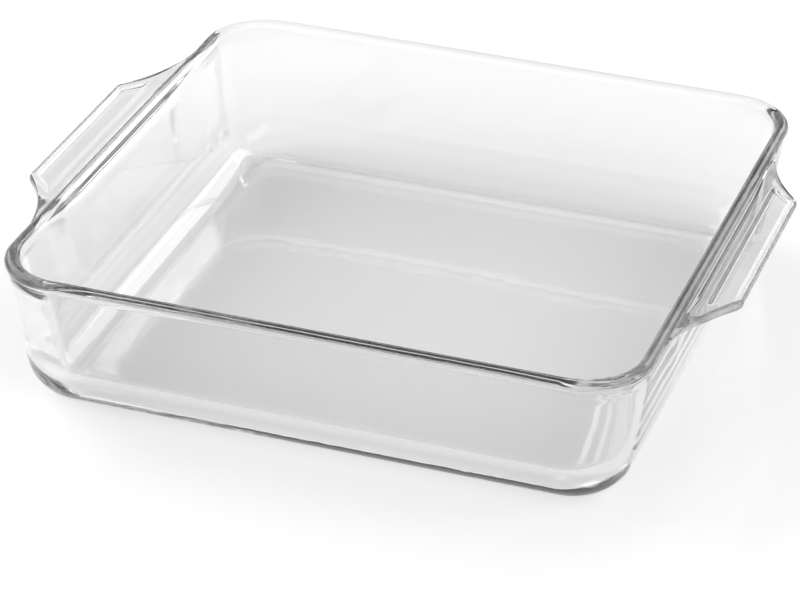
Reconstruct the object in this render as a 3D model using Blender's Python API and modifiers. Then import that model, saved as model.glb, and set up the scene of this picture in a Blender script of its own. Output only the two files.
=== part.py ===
"""Square glass baking dish, pressed in one piece, with a lug handle on two sides.

The dish stands on z = 0 with its middle at the origin. The handles lie on the X axis.
One quarter of the glass is lofted through wall sections that follow the dish's outline,
from the middle of the base, round the heel, the wall, the rim and the lug, and down to the floor.
The quarter is mirrored twice, and a grip pocket is cut in the top of each lug.
"""

import math

import bmesh
import bpy

MM = 0.001

# Outline of the dish
HEIGHT = 49.6 * MM
RIM_WIDTH = 213.0 * MM
RIM_CORNER = 22.5 * MM
RIM_CORNER_INSIDE = 20.0 * MM
BASE_WIDTH = 203.0 * MM

# Glass thickness and the curve where the wall meets the base
WALL_AT_RIM = 3.5 * MM
WALL_AT_BASE = 4.3 * MM
FLOOR = 4.5 * MM
HEEL_RADIUS = 14.4 * MM
HEEL_RADIUS_INSIDE = 15.5 * MM
BASE_CORNER = 6.2 * MM
FLOOR_CORNER = 4.0 * MM

# Rounded bead round the rim, flush with the lining
BEAD_OVERHANG = 1.0 * MM
BEAD_HEIGHT = 4.0 * MM
BEAD_UNDERCUT = 50.0
BEAD_FILLET = 0.6 * MM

# Lug handles: a straight grip edge that sweeps back into the rim
LUG_REACH = 15.3 * MM
LUG_SETBACK = 8.0 * MM
LUG_SWEEP = 58.0 * MM
LUG_CORNER = 1.5 * MM
LUG_DROP = 1.3 * MM
LUG_THICKNESS = 3.5 * MM
LUG_NOSE = 1.3 * MM
LUG_FILLET = 5.0 * MM
LUG_FILLET_LIMIT = 0.7
LUG_BLEND = 8.0 * MM

# Grip pocket in the top of each lug
POCKET_DEPTH = 1.3 * MM
POCKET_STRIP = 4.8 * MM
POCKET_LIP = 0.3 * MM
POCKET_END = 1.2 * MM
POCKET_FLARE = 1.0
POCKET_ROUNDING = 0.9 * MM

# Steps along the curves
HEEL_STEPS = 8
FILLET_STEPS = 4
NOSE_STEPS = 8
FLANK_STEPS = 4
BEAD_INSIDE_STEPS = 4
CORNER_STEPS = 12
GRIP_STEPS = 3
SWEEP_STEPS = 16
SWEEP_CROWDING = 1.6
PLAIN_SIDE_STEPS = 2
ROUNDING_STEPS = 3
SHARP_ANGLE = 35.0

RIM_HALF = RIM_WIDTH / 2
BASE_HALF = BASE_WIDTH / 2
BEAD_WIDTH = WALL_AT_RIM + BEAD_OVERHANG
BEAD_MIDDLE = RIM_HALF - BEAD_WIDTH / 2
BEAD_LEVEL = HEIGHT - BEAD_HEIGHT / 2
LINING_TOP = RIM_HALF - BEAD_WIDTH
LINING_BASE = BASE_HALF - WALL_AT_BASE
LUG_TOP = HEIGHT - LUG_DROP
LUG_UNDERSIDE = LUG_TOP - LUG_THICKNESS

# Heels: the arcs where the wall's outside meets the base, and the lining meets the floor
HEEL_X = BASE_HALF - HEEL_RADIUS
LINING_HEEL_X = LINING_BASE - HEEL_RADIUS_INSIDE
LINING_HEEL_Z = FLOOR + HEEL_RADIUS_INSIDE

# Distance from the middle to the centre of a corner's arc
RIM_CENTRE = RIM_HALF - RIM_CORNER
RIM_CENTRE_INSIDE = LINING_TOP - RIM_CORNER_INSIDE
BASE_CENTRE = HEEL_X - BASE_CORNER
FLOOR_CENTRE = LINING_HEEL_X - FLOOR_CORNER

# The lug's sweep ends short of the rim's corner
LUG_HALF_LENGTH = RIM_CENTRE - LUG_SETBACK

GLASS_COLOUR = (0.86, 0.88, 0.87, 1.0)
GLASS_ROUGHNESS = 0.02


def mix(first, second, share):
    return first + (second - first) * share


def ease(share):
    share = min(max(share, 0.0), 1.0)
    return share * share * (3.0 - 2.0 * share)


def arc(centre_x, centre_z, radius_x, radius_z, start, end, steps):
    """Points (x, z) of an elliptical arc, with its angles in degrees."""
    points = []
    for step in range(steps + 1):
        angle = math.radians(mix(start, end, step / steps))
        points.append((centre_x + radius_x * math.cos(angle), centre_z + radius_z * math.sin(angle)))
    return points


def fillet(start, corner, end, steps):
    """Points (x, z) of a curve that leaves start towards corner and arrives at end from it."""
    points = []
    for step in range(steps + 1):
        t = step / steps
        points.append(tuple(
            (1 - t) ** 2 * a + 2 * t * (1 - t) * b + t * t * c
            for a, b, c in zip(start, corner, end)))
    return points


def draft_angle(top_x, top_z, heel_x, heel_z, radius):
    """Angle in degrees at which a wall through the top point touches the heel's arc."""
    across = top_x - heel_x
    up = top_z - heel_z
    return math.degrees(math.atan2(up, across) - math.acos(radius / math.hypot(across, up)))


# The wall's outside and the lining each run straight from the rim to their heel
WALL_TOP_X = LINING_TOP + WALL_AT_RIM
WALL_TOP_Z = HEIGHT - BEAD_HEIGHT
WALL_ANGLE = draft_angle(WALL_TOP_X, WALL_TOP_Z, HEEL_X, HEEL_RADIUS, HEEL_RADIUS)
LINING_ANGLE = draft_angle(LINING_TOP, BEAD_LEVEL, LINING_HEEL_X, LINING_HEEL_Z, HEEL_RADIUS_INSIDE)


def wall_x(z):
    """Half-width of the wall's outside at a height."""
    return WALL_TOP_X + (WALL_TOP_Z - z) * math.tan(math.radians(WALL_ANGLE))


def wall_centre(z):
    """Corner centre of the wall's outside at a height."""
    return mix(BASE_CENTRE, RIM_CENTRE, ease((z - HEEL_RADIUS) / (LUG_UNDERSIDE - HEEL_RADIUS)))


def sweep_back(reach):
    """Distance along the side from the lug's end to where its sweep has the given reach."""
    return math.sqrt(LUG_SWEEP ** 2 - max(LUG_SWEEP - reach, 0.0) ** 2)


def lug_reach(y):
    """How far the lug stands out from the rim at a place along the side."""
    from_end = LUG_HALF_LENGTH - y
    if from_end <= 0:
        return 0.0
    swept = LUG_SWEEP - math.sqrt(max(LUG_SWEEP ** 2 - from_end ** 2, 0.0))
    overlap = max(LUG_CORNER - abs(swept - LUG_REACH), 0.0)
    return min(swept, LUG_REACH) - overlap ** 2 / (4 * LUG_CORNER)


def plain_rim(reach):
    """Rim section (x, z) from the wall to the crest, with its bead drawn out by the reach."""
    radius_x = BEAD_WIDTH / 2 + reach
    radius_z = BEAD_HEIGHT / 2
    steps = NOSE_STEPS + FLANK_STEPS + 1
    bead = arc(BEAD_MIDDLE, BEAD_LEVEL, radius_x, radius_z, -BEAD_UNDERCUT, 90.0, steps)
    start_z = WALL_TOP_Z - BEAD_FILLET
    start = (wall_x(start_z), start_z)
    corner = (wall_x(WALL_TOP_Z), WALL_TOP_Z)
    return fillet(start, corner, bead[0], FILLET_STEPS)[:-1] + bead


def lug_rim(reach):
    """Lug section (x, z) from the wall, round the grip edge, to the crest of the rim's bead."""
    nose_x = RIM_HALF + max(reach - LUG_NOSE, 0.0)
    root_x = wall_x(LUG_UNDERSIDE)
    root = min(LUG_FILLET, (nose_x - root_x) * LUG_FILLET_LIMIT)
    start_z = LUG_UNDERSIDE - root
    start = (wall_x(start_z), start_z)
    corner = (root_x, LUG_UNDERSIDE)
    underside = fillet(start, corner, (root_x + root, LUG_UNDERSIDE), FILLET_STEPS)
    nose_radius = LUG_THICKNESS / 2
    nose = arc(nose_x, LUG_TOP - nose_radius, LUG_NOSE, nose_radius, -90.0, 90.0, NOSE_STEPS)
    foot = math.degrees(math.asin(max(1.0 - LUG_DROP / (BEAD_HEIGHT / 2), 0.0)))
    flank = arc(BEAD_MIDDLE, BEAD_LEVEL, BEAD_WIDTH / 2, BEAD_HEIGHT / 2, foot, 90.0, FLANK_STEPS)
    return underside[:-1] + nose + flank


def section(reach):
    """Points (half-width, corner centre, z) from the base's middle round the rim to the floor."""
    heel = arc(HEEL_X, HEEL_RADIUS, HEEL_RADIUS, HEEL_RADIUS, -90.0, WALL_ANGLE, HEEL_STEPS)
    points = [(x, BASE_CENTRE, z) for x, z in heel]
    share = ease(reach / LUG_BLEND)
    for (plain_x, plain_z), (lug_x, lug_z) in zip(plain_rim(reach), lug_rim(reach)):
        z = mix(plain_z, lug_z, share)
        points.append((mix(plain_x, lug_x, share), wall_centre(z), z))
    lining_side = arc(BEAD_MIDDLE, BEAD_LEVEL, BEAD_WIDTH / 2, BEAD_HEIGHT / 2,
                      90.0, 180.0 + LINING_ANGLE, BEAD_INSIDE_STEPS)
    for step, (x, z) in enumerate(lining_side[1:], start=1):
        points.append((x, mix(RIM_CENTRE, RIM_CENTRE_INSIDE, step / BEAD_INSIDE_STEPS), z))
    lining = arc(LINING_HEEL_X, LINING_HEEL_Z, HEEL_RADIUS_INSIDE, HEEL_RADIUS_INSIDE,
                 LINING_ANGLE, -90.0, HEEL_STEPS)
    points += [(x, FLOOR_CENTRE, z) for x, z in lining]
    return points


def handle_side_columns():
    """Sections along the handle side, from its middle to the start of the corner."""
    grip_end = LUG_HALF_LENGTH - sweep_back(LUG_REACH + LUG_CORNER)
    places = [grip_end * step / GRIP_STEPS for step in range(GRIP_STEPS)]
    for step in range(SWEEP_STEPS + 1):
        places.append(mix(grip_end, LUG_HALF_LENGTH, (step / SWEEP_STEPS) ** SWEEP_CROWDING))
    columns = []
    for place in places:
        share = place / RIM_CENTRE
        columns.append([(half, centre * share, z) for half, centre, z in section(lug_reach(place))])
    return columns


def corner_columns():
    """Sections round the corner, turned about each level's corner centre."""
    columns = []
    for step in range(CORNER_STEPS + 1):
        angle = math.radians(90.0 * step / CORNER_STEPS)
        column = []
        for half, centre, z in section(0.0):
            radius = half - centre
            column.append((centre + radius * math.cos(angle), centre + radius * math.sin(angle), z))
        columns.append(column)
    return columns


def plain_side_columns():
    """Sections along the side without a handle, from the corner to its middle."""
    columns = []
    for step in range(1, PLAIN_SIDE_STEPS + 1):
        share = 1.0 - step / PLAIN_SIDE_STEPS
        columns.append([(centre * share, half, z) for half, centre, z in section(0.0)])
    return columns


def quarter_mesh():
    """Lofted skin of the quarter of the dish where x and y are positive."""
    bm = bmesh.new()
    columns = handle_side_columns() + corner_columns() + plain_side_columns()
    grid = [[bm.verts.new(point) for point in column] for column in columns]
    for column, following in zip(grid, grid[1:]):
        for row in range(len(column) - 1):
            bm.faces.new((column[row], following[row], following[row + 1], column[row + 1]))
    underside_middle = bm.verts.new((0.0, 0.0, 0.0))
    floor_middle = bm.verts.new((0.0, 0.0, FLOOR))
    bm.faces.new([underside_middle] + [column[0] for column in reversed(grid)])
    bm.faces.new([floor_middle] + [column[-1] for column in grid])
    mesh = bpy.data.meshes.new("baking_dish")
    bm.to_mesh(mesh)
    bm.free()
    return mesh


def glass_material():
    material = bpy.data.materials.new("clear_glass")
    material.use_nodes = True
    shader = material.node_tree.nodes["Principled BSDF"]
    shader.inputs["Base Color"].default_value = GLASS_COLOUR
    shader.inputs["Roughness"].default_value = GLASS_ROUGHNESS
    shader.inputs["Metallic"].default_value = 0.0
    shader.inputs["IOR"].default_value = 1.5
    shader.inputs["Transmission Weight"].default_value = 1.0
    return material


def pocket_cutter(side, collection):
    """Tapered block that presses the grip pocket into the lug on one side, +1 or -1."""
    inner_x = RIM_HALF + POCKET_STRIP
    outer_x = RIM_HALF + LUG_REACH - LUG_NOSE - POCKET_LIP
    outer_half = LUG_HALF_LENGTH - sweep_back(LUG_REACH) - POCKET_END
    inner_half = outer_half + (outer_x - inner_x) * POCKET_FLARE
    bm = bmesh.new()
    bmesh.ops.create_cube(bm, size=2.0)
    for vert in bm.verts:
        # The walls slope at 45 degrees and meet the pocket's outline at the lug's top
        slope = POCKET_DEPTH if vert.co.z > 0 else -POCKET_DEPTH
        x = outer_x + slope if vert.co.x > 0 else inner_x - slope
        half = (outer_half if vert.co.x > 0 else inner_half) + slope
        vert.co = (side * x, math.copysign(half, vert.co.y), LUG_TOP + slope)
    bmesh.ops.recalc_face_normals(bm, faces=bm.faces)
    mesh = bpy.data.meshes.new("pocket_cutter")
    bm.to_mesh(mesh)
    bm.free()
    cutter = bpy.data.objects.new("pocket_cutter", mesh)
    rounding = cutter.modifiers.new("rounding", "BEVEL")
    rounding.width = POCKET_ROUNDING
    rounding.segments = ROUNDING_STEPS
    cutter.hide_render = True
    cutter.display_type = "WIRE"
    collection.objects.link(cutter)
    return cutter


def baking_dish(collection, cutters):
    """The whole dish, mirrored from its quarter, with the pockets cut."""
    dish = bpy.data.objects.new("baking_dish", quarter_mesh())
    collection.objects.link(dish)
    mirror = dish.modifiers.new("four_quarters", "MIRROR")
    mirror.use_axis = (True, True, False)
    mirror.merge_threshold = 0.01 * MM
    for side in (1, -1):
        cut = dish.modifiers.new("pocket", "BOOLEAN")
        cut.operation = "DIFFERENCE"
        cut.solver = "EXACT"
        cut.object = pocket_cutter(side, cutters)
    dish.data.materials.append(glass_material())
    dish.data.shade_smooth()
    dish.data.set_sharp_from_angle(angle=math.radians(SHARP_ANGLE))
    return dish


def main():
    for obj in list(bpy.data.objects):
        bpy.data.objects.remove(obj, do_unlink=True)
    parts = bpy.data.collections.new("glass_baking_dish")
    cutters = bpy.data.collections.new("cutters")
    for collection in (parts, cutters):
        bpy.context.scene.collection.children.link(collection)
    baking_dish(parts, cutters)


main()
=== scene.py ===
"""Square dish of clear pressed glass with two lug handles, on a white studio floor."""

import math

import bpy
from mathutils import Matrix, Vector


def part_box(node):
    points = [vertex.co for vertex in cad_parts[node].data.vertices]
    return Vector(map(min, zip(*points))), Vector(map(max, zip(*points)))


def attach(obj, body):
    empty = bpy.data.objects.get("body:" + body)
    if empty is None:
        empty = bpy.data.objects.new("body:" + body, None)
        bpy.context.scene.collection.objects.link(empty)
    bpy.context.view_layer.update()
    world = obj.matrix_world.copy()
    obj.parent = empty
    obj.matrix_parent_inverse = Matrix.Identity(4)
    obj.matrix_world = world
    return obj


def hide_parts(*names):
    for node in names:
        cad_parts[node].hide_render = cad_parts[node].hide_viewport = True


bl_info = {
    "name": "Glass baking dish",
    "version": (1, 0, 0),
    "blender": (4, 5, 0),
    "location": "3D View > Sidebar > Dish",
    "description": "Makes a pressed glass baking dish and the studio that it stands in",
    "category": "Object",
}

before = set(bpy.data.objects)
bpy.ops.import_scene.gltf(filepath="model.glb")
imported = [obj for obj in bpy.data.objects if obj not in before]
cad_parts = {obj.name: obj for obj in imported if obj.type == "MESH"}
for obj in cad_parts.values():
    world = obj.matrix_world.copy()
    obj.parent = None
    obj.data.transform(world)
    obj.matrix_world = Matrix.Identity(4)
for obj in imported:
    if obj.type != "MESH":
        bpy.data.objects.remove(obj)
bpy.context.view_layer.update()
_, DISH_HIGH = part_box("baking_dish")

MM = 0.001
RIM_HALF = 106.5 * MM


# Small helpers

def srgb(code):
    """Linear colour with alpha of an sRGB hex value."""
    channels = [int(code[i:i + 2], 16) / 255 for i in (0, 2, 4)]
    linear = [c / 12.92 if c <= 0.04045 else ((c + 0.055) / 1.055) ** 2.4 for c in channels]
    return (*linear, 1.0)


def add(tree, kind, links=None, **settings):
    """Adds a node. links gives its inputs by name or number, each a socket or a plain value."""
    node = tree.nodes.new(kind)
    for name, value in settings.items():
        setattr(node, name, value)
    for key, value in (links or {}).items():
        if isinstance(value, bpy.types.NodeSocket):
            tree.links.new(value, node.inputs[key])
        else:
            node.inputs[key].default_value = value
    return node


def mix(first, second, share):
    return first + (second - first) * share


def ease(share):
    share = min(max(share, 0.0), 1.0)
    return share * share * (3.0 - 2.0 * share)


def arc(centre_x, centre_z, radius_x, radius_z, start, end, steps):
    """Points (x, z) of an elliptical arc, with its angles in degrees."""
    points = []
    for step in range(steps + 1):
        angle = math.radians(mix(start, end, step / steps))
        points.append((centre_x + radius_x * math.cos(angle),
                       centre_z + radius_z * math.sin(angle)))
    return points


def line(start, end, steps):
    return [tuple(mix(a, b, step / steps) for a, b in zip(start, end))
            for step in range(steps + 1)]


def fillet(start, corner, end, steps):
    """Points of a curve that leaves start towards corner and arrives at end from it."""
    points = []
    for step in range(steps + 1):
        t = step / steps
        points.append(tuple(
            (1 - t) ** 2 * a + 2 * t * (1 - t) * b + t * t * c
            for a, b, c in zip(start, corner, end)))
    return points


def length(name, description, default):
    """Size in millimetres, stored in metres."""
    return bpy.props.FloatProperty(
        name=name, description=description, default=default * MM, min=0.0,
        subtype="DISTANCE", unit="LENGTH", precision=5)


def level(name, description, default):
    return bpy.props.FloatProperty(name=name, description=description, default=default, min=0.0)


def colour(name, description, code):
    """Colour whose default is an sRGB hex value."""
    return bpy.props.FloatVectorProperty(
        name=name, description=description, default=srgb(code),
        subtype="COLOR", size=4, min=0.0, max=1.0)


# Sizes and colours that a user would change

class PanSizes(bpy.types.PropertyGroup):
    """Sizes of the pan."""
    height: bpy.props.FloatProperty(
        name="Height", description="From the base to the crest of the rim",
        default=DISH_HIGH.z, subtype="DISTANCE", unit="LENGTH", precision=5)
    rim_half: bpy.props.FloatProperty(
        name="Half rim", description="From the middle to the outside of the rim bead",
        default=RIM_HALF, subtype="DISTANCE", unit="LENGTH", precision=5)
    rim_corner: length("Rim corner", "Outside radius of the rim's corners", 22.5)
    rim_corner_inside: length("Rim corner inside", "Inside radius of the rim's corners", 20.0)
    base_half: length("Half base", "From the middle to the outside of the wall at the heel", 101.5)
    wall_at_rim: length("Wall at rim", "Glass thickness under the rim bead", 3.5)
    wall_at_base: length("Wall at base", "Glass thickness at the foot of the wall", 4.3)
    floor: length("Floor", "Glass thickness of the floor", 4.5)
    heel_radius: length("Heel radius", "Outside curve from the base to the wall", 14.4)
    heel_radius_inside: length("Inside heel radius", "Curve from the floor to the lining", 15.5)
    floor_corner: length("Floor corner", "Radius of the flat floor's corners", 4.0)
    base_corner: length("Base corner", "Radius of the flat base's corners", 6.2)
    bead_overhang: length("Bead overhang", "How far the rim bead stands out from the wall", 1.0)
    bead_height: length("Bead height", "Height of the rim bead", 4.0)
    bead_fillet: length("Bead fillet", "Curve from the wall to the rim bead", 0.6)


class LugSizes(bpy.types.PropertyGroup):
    """Sizes of the lug handles."""
    reach: bpy.props.FloatProperty(
        name="Reach", description="How far the grip edge stands out from the rim",
        default=DISH_HIGH.x - RIM_HALF, subtype="DISTANCE", unit="LENGTH", precision=5)
    half_length: length("Half length", "From the middle to the end of the lug's sweep", 76.0)
    sweep: length("Sweep", "Radius of the sweep from the rim to the grip edge", 58.0)
    corner: length("Corner", "Rounding where the sweep meets the grip edge", 2.2)
    drop: length("Drop", "From the rim's crest down to the lug's top", 1.3)
    thickness: length("Thickness", "Glass thickness of the lug", 3.5)
    nose: length("Nose", "How far the grip edge is rounded", 1.3)
    fillet: length("Fillet", "Curve from the wall to the lug's underside", 5.0)
    blend: length("Blend", "Reach over which the bead turns into the lug", 8.0)
    pocket_depth: length("Pocket depth", "Depth of the grip pocket", 1.3)
    pocket_slope: length("Pocket slope", "Width of the pocket's sloping walls", 1.9)
    pocket_strip: length("Pocket strip", "From the rim bead to the pocket", 4.8)
    pocket_lip: length("Pocket lip", "Flat left between the pocket and the nose", 0.3)
    pocket_end: length("Pocket end", "From the grip edge's end to the pocket", 1.2)
    pocket_corner: length("Pocket corner", "Rounding of the pocket's corners", 1.6)


class GlassLook(bpy.types.PropertyGroup):
    """Colour and surface of the glass."""
    tint: colour("Tint", "Colour that the glass passes on", "F3F3F3")
    wall_shade: colour(
        "Wall shade", "Light that each surface of a wall lets through to the floor", "A0A0A0")
    edge_shade: colour("Edge shade", "The same where the light grazes the wall", "404040")
    floor_shade: colour(
        "Floor shade", "Light that each surface of the pan's floor lets through", "F4F4F4")
    density: level("Density", "Light that a metre of the glass takes away", 2.0)
    ripple: length("Ripple", "Spacing of the chill ripples that the mould leaves", 8.0)
    ripple_depth: length("Ripple depth", "Depth of the chill ripples", 0.03)
    flow_spacing: length("Flow spacing", "Spacing of the flow marks along the rim", 2.0)
    flow_stretch: length("Flow stretch", "Length over which a flow mark wanders", 36.0)
    flow_depth: length("Flow depth", "Depth of the flow marks at the rim's corners", 0.24)


class StudioLook(bpy.types.PropertyGroup):
    """Floor, room and lamps."""
    floor_colour: colour("Floor", "Colour of the acrylic sheet", "FAFAFA")
    floor_glow: level("Floor glow", "Light that the sheet gives out from below", 0.59)
    room_colour: colour("Room", "Colour of the room at the height of the dish", "161616")
    ceiling_colour: colour("Ceiling", "Colour of the room above the dish", "505050")
    softbox_level: level("Softboxes", "Brightness of all softboxes", 1.0)


# Wall section of the dish

HEEL_STEPS = 22
WALL_STEPS = 8
FILLET_STEPS = 10
UNDERSIDE_STEPS = 4
NOSE_STEPS = 12
TOP_STEPS = 32
FLANK_FILLET_STEPS = 4
FLANK_STEPS = 10
BEAD_INSIDE_STEPS = 8
LINING_STEPS = 5

# Angles round the bead, in degrees from its outer side up towards its crest. Each is where the rows
# of one stretch of the lug's section end on the plain bead.
BEAD_FILLET_END = -50.0
BEAD_UNDERSIDE_END = -30.0
BEAD_NOSE_END = 12.0
BEAD_TOP_END = 24.0
BEAD_FLANK_START = 38.0
BEAD_CREST = 90.0

# Foot of the bead's flank on the lug's top: its share of the way from the rim's outside to the
# bead's middle, and the width of the curve that leads to it
FLANK_FOOT = 0.02
FLANK_CURVE = 1.2 * MM


def draft_angle(top_x, top_z, heel_x, heel_z, radius):
    """Angle in degrees at which a wall through the top point touches the heel's arc."""
    across = top_x - heel_x
    up = top_z - heel_z
    return math.degrees(math.atan2(up, across) - math.acos(radius / math.hypot(across, up)))


def wall_sections(pan, lug):
    """Rows (plain, full lug, on the lug's top) of the dish's section.

    They run from the underside's middle outwards, over the rim and down to the middle of the floor.
    Each of the first two is (half-width, corner centre, height).
    """
    bead_width = pan.wall_at_rim + pan.bead_overhang
    bead_middle = pan.rim_half - bead_width / 2
    bead_radius = pan.bead_height / 2
    bead_level = pan.height - bead_radius
    lining_top = pan.rim_half - bead_width
    lining_base = pan.base_half - pan.wall_at_base
    lug_top = pan.height - lug.drop
    lug_underside = lug_top - lug.thickness
    heel_x = pan.base_half - pan.heel_radius
    lining_heel_x = lining_base - pan.heel_radius_inside
    lining_heel_z = pan.floor + pan.heel_radius_inside
    rim_centre = pan.rim_half - pan.rim_corner
    rim_centre_inside = lining_top - pan.rim_corner_inside
    base_centre = heel_x - pan.base_corner
    floor_centre = lining_heel_x - pan.floor_corner
    wall_top_x = lining_top + pan.wall_at_rim
    wall_top_z = pan.height - pan.bead_height
    wall_angle = draft_angle(wall_top_x, wall_top_z, heel_x, pan.heel_radius, pan.heel_radius)
    lining_angle = draft_angle(
        lining_top, bead_level, lining_heel_x, lining_heel_z, pan.heel_radius_inside)

    def wall_x(z):
        return wall_top_x + (wall_top_z - z) * math.tan(math.radians(wall_angle))

    def wall_centre(z):
        share = (z - pan.heel_radius) / (lug_underside - pan.heel_radius)
        return mix(base_centre, rim_centre, ease(share))

    def along_bead(start, end, steps):
        return arc(bead_middle, bead_level, bead_width / 2, bead_radius, start, end, steps)

    rows = []

    def add_rows(plain, full, on_top=0.0):
        for (x, centre, z), (lug_x, lug_centre, lug_z) in zip(plain, full):
            rows.append(((x, centre, z), (lug_x, lug_centre, lug_z), on_top))

    # Flat base and heel
    base = [(0.0, 0.0, 0.0)]
    heel = arc(heel_x, pan.heel_radius, pan.heel_radius, pan.heel_radius,
               -90.0, wall_angle, HEEL_STEPS)
    base += [(x, base_centre, z) for x, z in heel]
    add_rows(base, base)

    # Wall, then the rim's section: a fillet and the outside of the bead, or the lug
    plain_start_z = wall_top_z - pan.bead_fillet
    bead_foot = along_bead(BEAD_FILLET_END, BEAD_FILLET_END, 1)[0]
    plain_fillet = fillet((wall_x(plain_start_z), plain_start_z), (wall_x(wall_top_z), wall_top_z),
                          bead_foot, FILLET_STEPS)
    lug_start_z = lug_underside - lug.fillet
    root_x = wall_x(lug_underside)
    lug_root = (root_x + lug.fillet, lug_underside)
    lug_fillet = fillet((wall_x(lug_start_z), lug_start_z), (root_x, lug_underside),
                        lug_root, FILLET_STEPS)
    heel_end_z = heel[-1][1]
    for step in range(1, WALL_STEPS):
        share = step / WALL_STEPS
        plain_z = mix(heel_end_z, plain_start_z, share)
        lug_z = mix(heel_end_z, lug_start_z, share)
        add_rows([(wall_x(plain_z), wall_centre(plain_z), plain_z)],
                 [(wall_x(lug_z), wall_centre(lug_z), lug_z)])

    nose_x = pan.rim_half + lug.reach - lug.nose
    nose_radius = lug.thickness / 2
    flank = along_bead(BEAD_FLANK_START, BEAD_CREST, FLANK_STEPS)
    flank_foot = (mix(pan.rim_half, bead_middle, FLANK_FOOT), lug_top)
    top_end = (flank_foot[0] + FLANK_CURVE, lug_top)
    pieces = (
        (plain_fillet, lug_fillet, 0.0),
        (along_bead(BEAD_FILLET_END, BEAD_UNDERSIDE_END, UNDERSIDE_STEPS)[1:],
         line(lug_root, (nose_x, lug_underside), UNDERSIDE_STEPS)[1:], 0.0),
        (along_bead(BEAD_UNDERSIDE_END, BEAD_NOSE_END, NOSE_STEPS)[1:],
         arc(nose_x, lug_top - nose_radius, lug.nose, nose_radius, -90.0, 90.0, NOSE_STEPS)[1:],
         0.0),
        (along_bead(BEAD_NOSE_END, BEAD_TOP_END, TOP_STEPS)[1:],
         line((nose_x, lug_top), top_end, TOP_STEPS)[1:], 1.0),
        (along_bead(BEAD_TOP_END, BEAD_FLANK_START, FLANK_FILLET_STEPS)[1:],
         fillet(top_end, flank_foot, flank[0], FLANK_FILLET_STEPS)[1:], 0.0),
        (flank[1:], flank[1:], 0.0),
    )
    for plain, full, on_top in pieces:
        add_rows([(x, wall_centre(z), z) for x, z in plain],
                 [(x, wall_centre(z), z) for x, z in full], on_top)

    # Inside of the bead, lining, inside heel and floor
    inside = []
    bead_inside = along_bead(BEAD_CREST, 180.0 + lining_angle, BEAD_INSIDE_STEPS)
    for step, (x, z) in enumerate(bead_inside[1:], start=1):
        inside.append((x, mix(rim_centre, rim_centre_inside, step / BEAD_INSIDE_STEPS), z))
    heel = arc(lining_heel_x, lining_heel_z, pan.heel_radius_inside, pan.heel_radius_inside,
               lining_angle, -90.0, HEEL_STEPS)
    heel_start = (heel[0][0], floor_centre, heel[0][1])
    inside += line(inside[-1], heel_start, LINING_STEPS)[1:-1]
    inside += [(x, floor_centre, z) for x, z in heel]
    inside.append((0.0, 0.0, pan.floor))
    add_rows(inside, inside)
    return rows


def section_object(rows):
    """Mesh line of the plain wall section.

    Its attributes are the full lug's section, how far a row lies on the lug's top, and the length
    along the section.
    """
    mesh = bpy.data.meshes.new("wall_section")
    mesh.from_pydata([plain for plain, full, on_top in rows],
                     [(i, i + 1) for i in range(len(rows) - 1)], [])
    full = mesh.attributes.new("lug_section", "FLOAT_VECTOR", "POINT")
    full.data.foreach_set("vector", [value for row in rows for value in row[1]])
    top = mesh.attributes.new("lug_top", "FLOAT", "POINT")
    top.data.foreach_set("value", [row[2] for row in rows])
    lengths = [0.0]
    for (start, _, _), (end, _, _) in zip(rows, rows[1:]):
        lengths.append(lengths[-1] + math.hypot(end[0] - start[0], end[2] - start[2]))
    along = mesh.attributes.new("section_length", "FLOAT", "POINT")
    along.data.foreach_set("value", lengths)
    section = bpy.data.objects.new("wall_section", mesh)
    bpy.context.scene.collection.objects.link(section)
    return section


# Geometry Nodes tree that sweeps the section round the dish

GRIP_COLUMNS = 8
SWEEP_COLUMNS = 84
CORNER_COLUMNS = 36
SIDE_COLUMNS = 6
SWEEP_CROWDING = 1.25

# Straight stretch of the grip edge that shares the sweep's close columns
SWEEP_MARGIN = 5.0 * MM
MERGE_DISTANCE = 0.01 * MM

# Steps of the sweep, each a name, a node, its setting and its inputs. An input is a number, an
# input of the tree or the name of an earlier step.
MATHS = ("ShaderNodeMath", "operation")
RANGE = ("ShaderNodeMapRange", "interpolation_type")

COLUMN_STEPS = (
    # Columns of the grid: the grip, the lug's sweep, the straight side, the corner, the plain side
    ("sweep end", MATHS, "ADD", ("Grip columns", "Sweep columns")),
    ("corner start", MATHS, "ADD", ("sweep end", 1.0)),
    ("corner end", MATHS, "ADD", ("corner start", "Corner columns")),
    ("side end", MATHS, "ADD", ("corner end", "Side columns")),
    ("column count", MATHS, "ADD", ("side end", 1.0)),
    ("index in rows", MATHS, "DIVIDE", ("index", "row count")),
    ("column", MATHS, "FLOOR", ("index in rows",)),
    ("first in column", MATHS, "MULTIPLY", ("column", "row count")),
    ("row", MATHS, "SUBTRACT", ("index", "first in column")),
)

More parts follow.
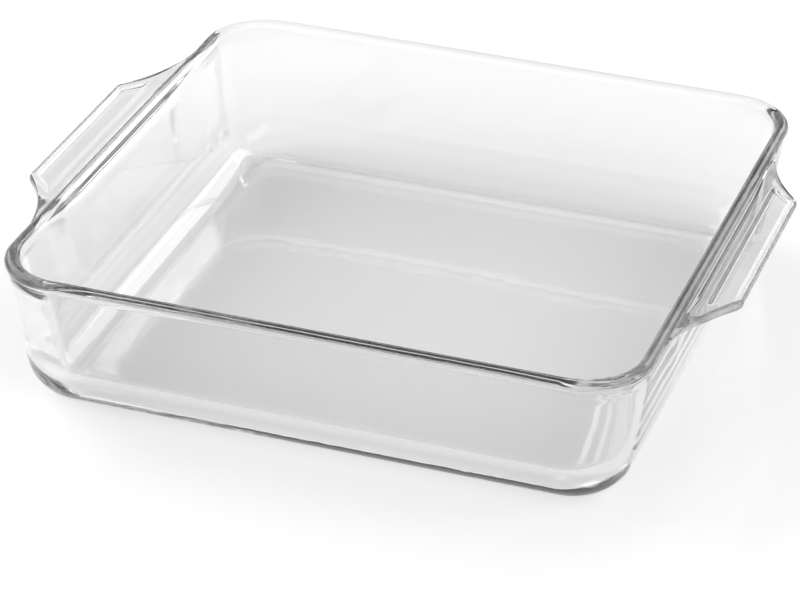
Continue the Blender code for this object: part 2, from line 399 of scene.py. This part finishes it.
PLACE_STEPS = (
    # Place along the handle side, turn round the corner, and place along the plain side
    ("in grip", RANGE, "LINEAR", ("column", 0.0, "Grip columns", 0.0, "Grip half length")),
    ("even sweep", RANGE, "LINEAR", ("column", "Grip columns", "sweep end", 0.0, 1.0)),
    ("crowded sweep", MATHS, "POWER", ("even sweep", SWEEP_CROWDING)),
    ("sweep length", MATHS, "SUBTRACT", ("Lug half length", "Grip half length")),
    ("place", MATHS, "MULTIPLY_ADD", ("crowded sweep", "sweep length", "in grip")),
    ("share in lug", MATHS, "DIVIDE", ("place", "Corner centre")),
    ("share past lug", RANGE, "LINEAR", ("column", "sweep end", "corner start", 0.0, 1.0)),
    ("handle share", MATHS, "MAXIMUM", ("share in lug", "share past lug")),
    ("turn", RANGE, "LINEAR", ("column", "corner start", "corner end", 0.0, math.pi / 2)),
    ("side share", RANGE, "LINEAR", ("column", "corner end", "side end", 1.0, 0.0)),
    # Reach of the lug: an arc of the sweep, cut off at the grip edge with a rounded corner
    ("before the end", MATHS, "SUBTRACT", ("Lug half length", "place")),
    ("from end", MATHS, "MAXIMUM", ("before the end", 0.0)),
    ("end square", MATHS, "MULTIPLY", ("from end", "from end")),
    ("sweep square", MATHS, "MULTIPLY", ("Lug sweep", "Lug sweep")),
    ("under root", MATHS, "SUBTRACT", ("sweep square", "end square")),
    ("never under zero", MATHS, "MAXIMUM", ("under root", 0.0)),
    ("root", MATHS, "SQRT", ("never under zero",)),
    ("swept", MATHS, "SUBTRACT", ("Lug sweep", "root")),
    ("cut off", MATHS, "SMOOTH_MIN", ("swept", "Lug reach", "Lug corner")),
    ("reach", MATHS, "MAXIMUM", ("cut off", 0.0)),
    ("lug share", MATHS, "DIVIDE", ("reach", "Lug reach")),
    ("turned", RANGE, "SMOOTHSTEP", ("reach", 0.0, "Lug blend", 0.0, 1.0)),
    # Section at this column, between the plain rim and the full lug
    ("more width", MATHS, "SUBTRACT", ("lug_section X", "position X")),
    ("half", MATHS, "MULTIPLY_ADD", ("more width", "lug share", "position X")),
    ("more centre", MATHS, "SUBTRACT", ("lug_section Y", "position Y")),
    ("centre", MATHS, "MULTIPLY_ADD", ("more centre", "turned", "position Y")),
    ("more height", MATHS, "SUBTRACT", ("lug_section Z", "position Z")),
    ("unpressed", MATHS, "MULTIPLY_ADD", ("more height", "turned", "position Z")),
    ("radius", MATHS, "SUBTRACT", ("half", "centre")),
    ("cosine", MATHS, "COSINE", ("turn",)),
    ("sine", MATHS, "SINE", ("turn",)),
    ("centre x", MATHS, "MULTIPLY", ("centre", "side share")),
    ("centre y", MATHS, "MULTIPLY", ("centre", "handle share")),
    ("x", MATHS, "MULTIPLY_ADD", ("radius", "cosine", "centre x")),
    ("y", MATHS, "MULTIPLY_ADD", ("radius", "sine", "centre y")),
    # Grip pocket, pressed into the lug's top inside a four-sided outline with slanted ends
    ("from inner", MATHS, "SUBTRACT", ("x", "Pocket inner edge")),
    ("from outer", MATHS, "SUBTRACT", ("Pocket outer edge", "x")),
    ("end line", MATHS, "ADD", ("Pocket half length", "from outer")),
    ("before end line", MATHS, "SUBTRACT", ("end line", "y")),
    ("from slant", MATHS, "MULTIPLY", ("before end line", math.sqrt(0.5))),
    ("nearer edge", MATHS, "SMOOTH_MIN", ("from inner", "from outer", "Pocket corner")),
    ("nearest", MATHS, "SMOOTH_MIN", ("nearer edge", "from slant", "Pocket corner")),
    ("pocket share", RANGE, "SMOOTHERSTEP", ("nearest", 0.0, "Pocket slope", 0.0, 1.0)),
    ("pressed", MATHS, "MULTIPLY", ("pocket share", "lug_top")),
    ("pressed depth", MATHS, "MULTIPLY", ("pressed", "Pocket depth")),
    ("z", MATHS, "SUBTRACT", ("unpressed", "pressed depth")),
)


def build_steps(tree, steps, sockets):
    """Adds a table's nodes, and each one's result to sockets under its name."""
    for name, (kind, setting), choice, inputs in steps:
        links = {place: sockets.get(value, value) for place, value in enumerate(inputs)}
        sockets[name] = add(tree, kind, links, **{setting: choice}).outputs[0]


def sweep_tree():
    """Tree that sweeps the section round a quarter of the dish, presses the pocket, and mirrors."""
    tree = bpy.data.node_groups.new("sweep_dish_wall", "GeometryNodeTree")
    face = tree.interface
    face.new_socket("Section", in_out="INPUT", socket_type="NodeSocketGeometry")
    for name in ("Corner centre", "Lug half length", "Lug reach", "Lug sweep", "Lug corner",
                 "Lug blend", "Grip half length", "Pocket depth", "Pocket slope",
                 "Pocket inner edge", "Pocket outer edge", "Pocket half length", "Pocket corner"):
        face.new_socket(name, in_out="INPUT", socket_type="NodeSocketFloat").subtype = "DISTANCE"
    for name in ("Grip columns", "Sweep columns", "Corner columns", "Side columns"):
        face.new_socket(name, in_out="INPUT", socket_type="NodeSocketInt")
    face.new_socket("Glass", in_out="INPUT", socket_type="NodeSocketMaterial")
    face.new_socket("Dish", in_out="OUTPUT", socket_type="NodeSocketGeometry")
    source = add(tree, "NodeGroupInput").outputs

    row_count = add(tree, "GeometryNodeAttributeDomainSize", {"Geometry": source["Section"]},
                    component="MESH").outputs["Point Count"]
    sockets = {item.name: source[item.name] for item in face.items_tree if item.in_out == "INPUT"}
    sockets["row count"] = row_count
    sockets["index"] = add(tree, "GeometryNodeInputIndex").outputs[0]
    build_steps(tree, COLUMN_STEPS, sockets)
    grid = add(tree, "GeometryNodeMeshGrid",
               {"Vertices X": sockets["column count"], "Vertices Y": row_count}).outputs["Mesh"]

    # Section's points at this row: the plain rim's, the full lug's, how far they lie on the lug's
    # top, and their place along the section
    for attribute, kind in (("position", "FLOAT_VECTOR"), ("lug_section", "FLOAT_VECTOR"),
                            ("lug_top", "FLOAT"), ("section_length", "FLOAT")):
        value = add(tree, "GeometryNodeInputNamedAttribute", {"Name": attribute},
                    data_type=kind).outputs[0]
        sampled = add(tree, "GeometryNodeSampleIndex",
                      {"Geometry": source["Section"], "Value": value, "Index": sockets["row"]},
                      data_type=kind, domain="POINT").outputs[0]
        sockets[attribute] = sampled
        if kind == "FLOAT_VECTOR":
            parts = add(tree, "ShaderNodeSeparateXYZ", {0: sampled}).outputs
            sockets.update({f"{attribute} {axis}": parts[axis] for axis in "XYZ"})
    build_steps(tree, PLACE_STEPS, sockets)
    placed = add(tree, "GeometryNodeSetPosition", {
        "Geometry": grid,
        "Position": add(tree, "ShaderNodeCombineXYZ",
                        {"X": sockets["x"], "Y": sockets["y"], "Z": sockets["z"]}).outputs[0],
    }).outputs[0]
    placed = add(tree, "GeometryNodeStoreNamedAttribute",
                 {"Geometry": placed, "Name": "section_length",
                  "Value": sockets["section_length"]},
                 data_type="FLOAT", domain="POINT").outputs[0]

    # Four quarters, joined where they meet
    for flip in ((-1.0, 1.0, 1.0), (1.0, -1.0, 1.0)):
        mirrored = add(tree, "GeometryNodeTransform",
                       {"Geometry": placed, "Scale": flip}).outputs[0]
        mirrored = add(tree, "GeometryNodeFlipFaces", {"Mesh": mirrored}).outputs[0]
        joined = add(tree, "GeometryNodeJoinGeometry")
        for part in (placed, mirrored):
            tree.links.new(part, joined.inputs[0])
        placed = joined.outputs[0]
    merged = add(tree, "GeometryNodeMergeByDistance",
                 {"Geometry": placed, "Distance": MERGE_DISTANCE}).outputs[0]
    smooth = add(tree, "GeometryNodeSetShadeSmooth", {"Geometry": merged}).outputs[0]
    real = add(tree, "GeometryNodeRealizeInstances", {"Geometry": smooth}).outputs[0]
    finish = add(tree, "GeometryNodeSetMaterial",
                 {"Geometry": real, "Material": source["Glass"]}).outputs[0]
    add(tree, "NodeGroupOutput", {"Dish": finish})
    return tree


# Glass

SODA_LIME_IOR = 1.52
RIPPLE_DETAIL = 2.0
RIPPLE_ROUGHNESS = 0.4
FLOW_DETAIL = 0.5
GRAZING_BLEND = 0.5

# Heights over which the floor's shade turns into the wall's, and over which the flow marks set in
WALL_FADE = (4.6 * MM, 7.0 * MM)
RIM_FADE = (41.0 * MM, 45.0 * MM)

# The flow marks' share of their full depth along the sides, and the products of x and y between
# which they deepen towards a corner
FLOW_ON_SIDES = 0.2
CORNER_FADE = (6500.0 * MM * MM, 9500.0 * MM * MM)


def flow_marks(tree, place, look):
    """Height of the marks that flowing glass leaves along the rim, deepest at its corners."""
    axes = add(tree, "ShaderNodeSeparateXYZ", {0: place}).outputs
    along_section = add(tree, "ShaderNodeAttribute",
                        attribute_name="section_length").outputs["Fac"]
    across = add(tree, "ShaderNodeCombineXYZ",
                 {"X": along_section, "Y": axes["X"], "Z": axes["Y"]}).outputs[0]
    wander = look.flow_spacing / look.flow_stretch
    stretched = add(tree, "ShaderNodeMapping",
                    {"Vector": across, "Scale": (1.0, wander, wander)}).outputs[0]
    marks = add(tree, "ShaderNodeTexNoise", {
        "Vector": stretched,
        "Scale": 1.0 / look.flow_spacing,
        "Detail": FLOW_DETAIL,
    }).outputs[0]
    on_rim = add(tree, "ShaderNodeMapRange",
                 {"Value": axes["Z"], "From Min": RIM_FADE[0], "From Max": RIM_FADE[1]},
                 interpolation_type="SMOOTHSTEP").outputs[0]
    product = add(tree, "ShaderNodeMath", {0: axes["X"], 1: axes["Y"]},
                  operation="MULTIPLY").outputs[0]
    near_corner = add(tree, "ShaderNodeMath", {0: product}, operation="ABSOLUTE").outputs[0]
    depth = add(tree, "ShaderNodeMapRange",
                {"Value": near_corner, "From Min": CORNER_FADE[0], "From Max": CORNER_FADE[1],
                 "To Min": FLOW_ON_SIDES, "To Max": 1.0},
                interpolation_type="SMOOTHSTEP").outputs[0]
    strength = add(tree, "ShaderNodeMath", {0: on_rim, 1: depth}, operation="MULTIPLY").outputs[0]
    return add(tree, "ShaderNodeMath", {0: marks, 1: strength}, operation="MULTIPLY").outputs[0]


def pressed_soda_lime_glass(look):
    """Pressed soda-lime glass, fire polished: clear, mirror smooth, faintly rippled by the mould.

    The ripples bend the lines seen through the walls a little, and the flow marks split the rim's
    reflections into thin lines. Rays from lamps and from the floor pass straight through it. The
    walls, the heel and the rim dim them, as they throw light aside, and the flat floor hardly does.
    """
    material = bpy.data.materials.new("pressed_soda_lime_glass")
    material.use_nodes = True
    tree = material.node_tree
    tree.nodes.clear()
    place = add(tree, "ShaderNodeTexCoord").outputs["Object"]
    ripples = add(tree, "ShaderNodeTexNoise", {
        "Vector": place,
        "Scale": 1.0 / look.ripple,
        "Detail": RIPPLE_DETAIL,
        "Roughness": RIPPLE_ROUGHNESS,
    })
    rippled = add(tree, "ShaderNodeBump",
                  {"Height": ripples.outputs[0], "Strength": 1.0, "Distance": look.ripple_depth})
    bump = add(tree, "ShaderNodeBump", {
        "Height": flow_marks(tree, place, look),
        "Strength": 1.0,
        "Distance": look.flow_depth,
        "Normal": rippled.outputs[0],
    })
    glass = add(tree, "ShaderNodeBsdfPrincipled", {
        "Base Color": look.tint,
        "Roughness": 0.0,
        "IOR": SODA_LIME_IOR,
        "Transmission Weight": 1.0,
        "Normal": bump.outputs[0],
    })
    grazing = add(tree, "ShaderNodeLayerWeight", {"Blend": GRAZING_BLEND}).outputs["Facing"]
    wall = add(tree, "ShaderNodeMix",
               {"Factor": grazing, "A": look.wall_shade, "B": look.edge_shade},
               data_type="RGBA").outputs["Result"]
    height = add(tree, "ShaderNodeSeparateXYZ", {0: place}).outputs["Z"]
    on_wall = add(tree, "ShaderNodeMapRange",
                  {"Value": height, "From Min": WALL_FADE[0], "From Max": WALL_FADE[1]},
                  interpolation_type="SMOOTHSTEP").outputs[0]
    shade = add(tree, "ShaderNodeMix", {"Factor": on_wall, "A": look.floor_shade, "B": wall},
                data_type="RGBA").outputs["Result"]
    passed = add(tree, "ShaderNodeBsdfTransparent", {"Color": shade})
    path = add(tree, "ShaderNodeLightPath").outputs
    from_floor = add(tree, "ShaderNodeMath",
                     {0: path["Is Shadow Ray"], 1: path["Is Diffuse Ray"]},
                     operation="MAXIMUM").outputs[0]
    surface = add(tree, "ShaderNodeMixShader",
                  {0: from_floor, 1: glass.outputs[0], 2: passed.outputs[0]})
    body = add(tree, "ShaderNodeVolumeAbsorption",
               {"Color": (0.0, 0.0, 0.0, 1.0), "Density": look.density})
    add(tree, "ShaderNodeOutputMaterial",
        {"Surface": surface.outputs[0], "Volume": body.outputs[0]})
    return material


class DISH_OT_glass(bpy.types.Operator):
    """Make the glass dish in place of the frame's node"""
    bl_idname = "dish.glass"
    bl_label = "Glass dish"

    def execute(self, context):
        scene = context.scene
        pan, lug = scene.dish_pan, scene.dish_lug
        section = section_object(wall_sections(pan, lug))
        modifier = section.modifiers.new("sweep", "NODES")
        modifier.node_group = sweep_tree()
        outer_edge = pan.rim_half + lug.reach - lug.nose - lug.pocket_lip
        sweep_back = math.sqrt(lug.sweep ** 2 - (lug.sweep - lug.reach) ** 2)
        values = {
            "Corner centre": pan.rim_half - pan.rim_corner,
            "Lug half length": lug.half_length,
            "Lug reach": lug.reach,
            "Lug sweep": lug.sweep,
            "Lug corner": lug.corner,
            "Lug blend": lug.blend,
            "Grip half length": lug.half_length - sweep_back - SWEEP_MARGIN,
            "Pocket depth": lug.pocket_depth,
            "Pocket slope": lug.pocket_slope,
            "Pocket inner edge": pan.rim_half + lug.pocket_strip,
            "Pocket outer edge": outer_edge,
            "Pocket half length": lug.half_length - sweep_back - lug.pocket_end,
            "Pocket corner": lug.pocket_corner,
            "Grip columns": GRIP_COLUMNS,
            "Sweep columns": SWEEP_COLUMNS,
            "Corner columns": CORNER_COLUMNS,
            "Side columns": SIDE_COLUMNS,
            "Glass": pressed_soda_lime_glass(scene.dish_glass),
        }
        for item in modifier.node_group.interface.items_tree:
            if item.name in values:
                modifier[item.identifier] = values[item.name]
        evaluated = section.evaluated_get(context.evaluated_depsgraph_get())
        mesh = bpy.data.meshes.new_from_object(evaluated)
        if not mesh.polygons:
            raise RuntimeError("the section tree made no faces")
        mesh.name = "pressed_dish"
        bpy.data.objects.remove(section)
        dish = bpy.data.objects.new("pressed_dish", mesh)
        scene.collection.objects.link(dish)
        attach(dish, "root")
        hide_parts("baking_dish")
        return {"FINISHED"}


# Studio

# Camera: its place, its angles in radians, and its focal length in pixels of the picture's width
CAMERA_PLACE = (324.27 * MM, -970.61 * MM, 576.05 * MM)
CAMERA_YAW, CAMERA_PITCH, CAMERA_ROLL = -0.3256, 0.5088, 0.0191
FOCAL_PIXELS = 3485.0
PICTURE_WIDTH = 800
SENSOR_WIDTH = 36.0
CLIP_START, CLIP_END = 0.05, 50.0

FLOOR_HALF = 4.0
FLOOR_GAP = 0.3 * MM
ACRYLIC_ROUGHNESS = 0.25
LIGHT_BOUNCES = 48

# Z of a direction over which the room's colour turns into the ceiling's
CEILING_FADE = (0.3, 0.6)

# Softboxes: turn from +X towards +Y, height, width and tallness in degrees seen from the dish, and
# brightness
SOFTBOX_DISTANCE = 1.7
SOFTBOXES = (
    ("key_softbox", 76.0, 29.0, 22.0, 24.0, 3.2),
    ("back_softbox", 102.0, 12.0, 100.0, 18.0, 0.75),
    ("left_softbox", 168.0, 36.0, 75.0, 34.0, 2.0),
    ("right_softbox", 350.0, 43.0, 80.0, 28.0, 1.2),
    ("front_softbox", 275.0, 40.0, 110.0, 26.0, 0.7),
)


def studio_camera():
    direction = Vector((math.sin(CAMERA_YAW) * math.cos(CAMERA_PITCH),
                        math.cos(CAMERA_YAW) * math.cos(CAMERA_PITCH), -math.sin(CAMERA_PITCH)))
    right = Vector((math.cos(CAMERA_YAW), -math.sin(CAMERA_YAW), 0.0))
    up = right.cross(direction)
    across = math.cos(CAMERA_ROLL) * right + math.sin(CAMERA_ROLL) * up
    above = -math.sin(CAMERA_ROLL) * right + math.cos(CAMERA_ROLL) * up
    data = bpy.data.cameras.new("studio_camera")
    data.sensor_width = SENSOR_WIDTH
    data.lens = FOCAL_PIXELS / PICTURE_WIDTH * data.sensor_width
    data.clip_start = CLIP_START
    data.clip_end = CLIP_END
    camera = bpy.data.objects.new("studio_camera", data)
    turn = Matrix((across, above, -direction)).transposed()
    camera.matrix_world = Matrix.Translation(CAMERA_PLACE) @ turn.to_4x4()
    bpy.context.scene.collection.objects.link(camera)
    return camera


def white_acrylic(sheet_colour, strength):
    """Opal white acrylic sheet, polished: a bright even floor with a soft, shallow reflection."""
    material = bpy.data.materials.new("opal_acrylic_sheet")
    material.use_nodes = True
    tree = material.node_tree
    tree.nodes.clear()
    path = add(tree, "ShaderNodeLightPath").outputs
    seen = add(tree, "ShaderNodeMath", {0: path["Is Camera Ray"], 1: path["Is Glossy Ray"]},
               operation="MAXIMUM").outputs[0]
    seen = add(tree, "ShaderNodeMath", {0: seen, 1: path["Is Transmission Ray"]},
               operation="MAXIMUM").outputs[0]
    glow = add(tree, "ShaderNodeMath", {0: seen, 1: strength}, operation="MULTIPLY").outputs[0]
    sheet = add(tree, "ShaderNodeBsdfPrincipled", {
        "Base Color": sheet_colour,
        "Roughness": ACRYLIC_ROUGHNESS,
        "Emission Color": (1.0, 1.0, 1.0, 1.0),
        "Emission Strength": glow,
    })
    add(tree, "ShaderNodeOutputMaterial", {"Surface": sheet.outputs[0]})
    return material


def graded_room(low, high):
    """World that is dark at the height of the dish, and lighter above it like a pale ceiling."""
    world = bpy.data.worlds.new("studio_room")
    world.use_nodes = True
    tree = world.node_tree
    tree.nodes.clear()
    direction = add(tree, "ShaderNodeTexCoord").outputs["Generated"]
    height = add(tree, "ShaderNodeSeparateXYZ", {0: direction}).outputs["Z"]
    share = add(tree, "ShaderNodeMapRange",
                {"Value": height, "From Min": CEILING_FADE[0], "From Max": CEILING_FADE[1]},
                interpolation_type="SMOOTHSTEP").outputs[0]
    shade = add(tree, "ShaderNodeMix", {"Factor": share, "A": low, "B": high},
                data_type="RGBA").outputs["Result"]
    room = add(tree, "ShaderNodeBackground", {"Color": shade})
    add(tree, "ShaderNodeOutputWorld", {"Surface": room.outputs[0]})
    return world


def softbox(name, turn, height, width, tall, brightness):
    """Oblong area lamp that faces the dish, with its angles in degrees seen from the dish.

    Its width is a turn about the dish's upright axis, so a higher lamp is narrower. Its brightness
    is that of its face, and its power follows from its size.
    """
    turn, height, width, tall = (math.radians(angle) for angle in (turn, height, width, tall))
    place = SOFTBOX_DISTANCE * Vector((math.cos(height) * math.cos(turn),
                                       math.cos(height) * math.sin(turn), math.sin(height)))
    data = bpy.data.lights.new(name, "AREA")
    data.shape = "RECTANGLE"
    data.size = 2.0 * SOFTBOX_DISTANCE * math.tan(width / 2) * math.cos(height)
    data.size_y = 2.0 * SOFTBOX_DISTANCE * math.tan(tall / 2)
    data.energy = brightness * math.pi * data.size * data.size_y
    lamp = bpy.data.objects.new(name, data)
    facing = place.to_track_quat("Z", "Y").to_matrix().to_4x4()
    lamp.matrix_world = Matrix.Translation(place) @ facing
    lamp.visible_camera = False
    bpy.context.scene.collection.objects.link(lamp)


class DISH_OT_studio(bpy.types.Operator):
    """Make the floor, the lamps, the room and the camera"""
    bl_idname = "dish.studio"
    bl_label = "Studio"

    def execute(self, context):
        scene = context.scene
        look = scene.dish_studio
        mesh = bpy.data.meshes.new("studio_floor")
        corners = [(sx * FLOOR_HALF, sy * FLOOR_HALF, -FLOOR_GAP)
                   for sx, sy in ((-1, -1), (1, -1), (1, 1), (-1, 1))]
        mesh.from_pydata(corners, [], [(0, 1, 2, 3)])
        mesh.materials.append(white_acrylic(look.floor_colour, look.floor_glow))
        floor = bpy.data.objects.new("studio_floor", mesh)
        scene.collection.objects.link(floor)
        for name, turn, height, width, tall, brightness in SOFTBOXES:
            softbox(name, turn, height, width, tall, brightness * look.softbox_level)
        scene.world = graded_room(look.room_colour, look.ceiling_colour)
        scene.camera = studio_camera()
        scene.view_settings.view_transform = "Standard"
        scene.cycles.max_bounces = LIGHT_BOUNCES
        scene.cycles.glossy_bounces = LIGHT_BOUNCES
        scene.cycles.transmission_bounces = LIGHT_BOUNCES
        return {"FINISHED"}


class DISH_PT_panel(bpy.types.Panel):
    """Sizes, colours and operators of the dish"""
    bl_idname = "DISH_PT_panel"
    bl_label = "Glass baking dish"
    bl_space_type = "VIEW_3D"
    bl_region_type = "UI"
    bl_category = "Dish"

    def draw(self, context):
        for name in GROUPS:
            group = getattr(context.scene, name)
            box = self.layout.box()
            box.label(text=group.bl_rna.description)
            for prop in group.bl_rna.properties:
                if prop.identifier not in ("rna_type", "name"):
                    box.prop(group, prop.identifier)
        for operator in OPERATORS:
            self.layout.operator(operator.bl_idname)


GROUPS = {
    "dish_pan": PanSizes,
    "dish_lug": LugSizes,
    "dish_glass": GlassLook,
    "dish_studio": StudioLook,
}
OPERATORS = (DISH_OT_glass, DISH_OT_studio)


def register():
    for cls in (*GROUPS.values(), *OPERATORS, DISH_PT_panel):
        bpy.utils.register_class(cls)
    for name, cls in GROUPS.items():
        setattr(bpy.types.Scene, name, bpy.props.PointerProperty(type=cls))


def unregister():
    for name in GROUPS:
        delattr(bpy.types.Scene, name)
    for cls in reversed((*GROUPS.values(), *OPERATORS, DISH_PT_panel)):
        bpy.utils.unregister_class(cls)


def main():
    register()
    bpy.ops.dish.glass()
    bpy.ops.dish.studio()


if __name__ == "__main__":
    main()
